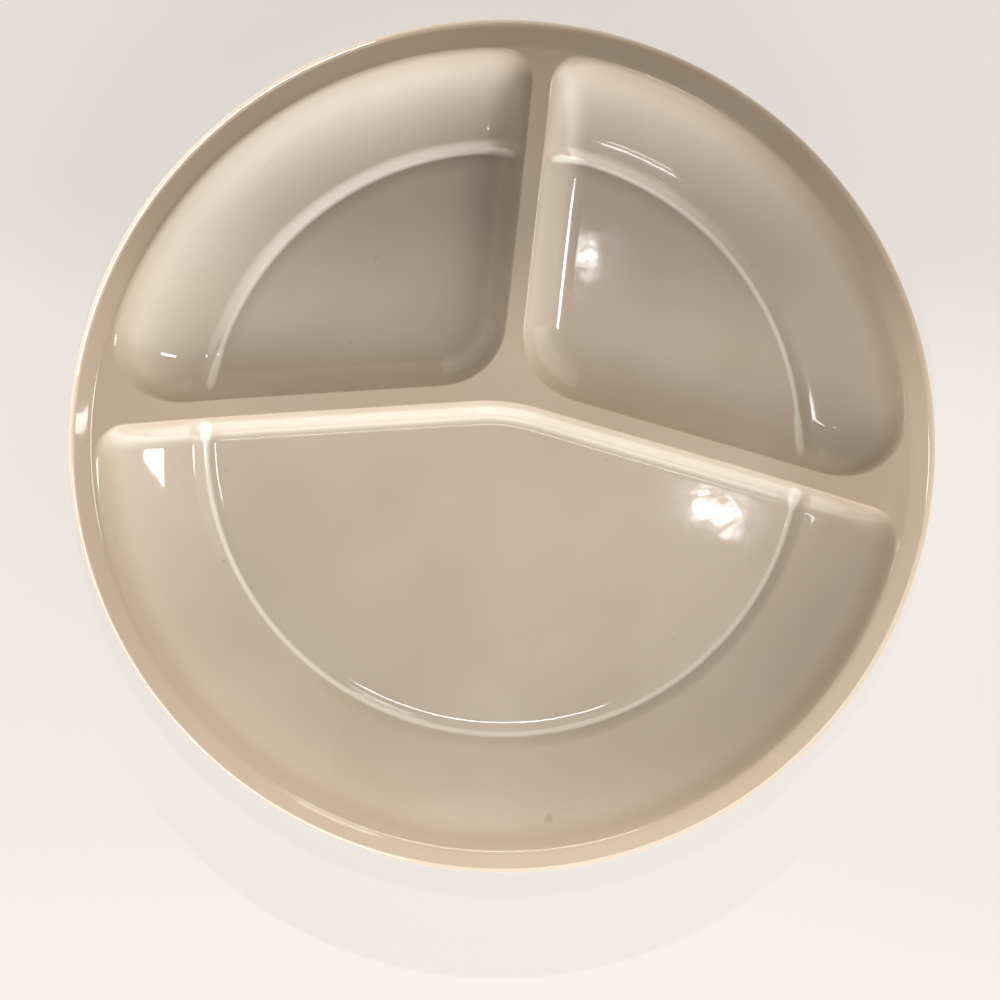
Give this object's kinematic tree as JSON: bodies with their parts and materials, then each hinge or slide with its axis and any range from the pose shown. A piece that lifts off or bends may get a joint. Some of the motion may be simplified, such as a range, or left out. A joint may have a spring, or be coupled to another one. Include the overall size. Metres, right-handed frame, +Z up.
{
  "type": "divided compartment plate",
  "caption": "Round glazed dinner plate whose smooth Y-shaped dividers part a large well from smaller side wells, with a rolled rim, a ring-stepped floor and a foot ring.",
  "frame": {"origin": "centre of the foot ring, on the table that the plate lies on", "axes": "+Z up out of the wells, +Y from the plate's centre along the top divider, so the main well lies towards -Y and the left well towards -X"},
  "size_m": [0.25, 0.25, 0.023],
  "materials": {
    "glaze": "gloss",
    "bare_clay": "matte"
  },
  "bodies": {
    "root": {"rim": "glaze", "main_wall": "glaze", "left_wall": "glaze", "right_wall": "glaze", "main_floor": "glaze", "left_floor": "glaze", "right_floor": "glaze", "top_divider": "glaze", "left_divider": "glaze", "right_divider": "glaze", "divider_hub": "glaze", "foot_ring": "bare_clay"}
  },
  "joints": []
}
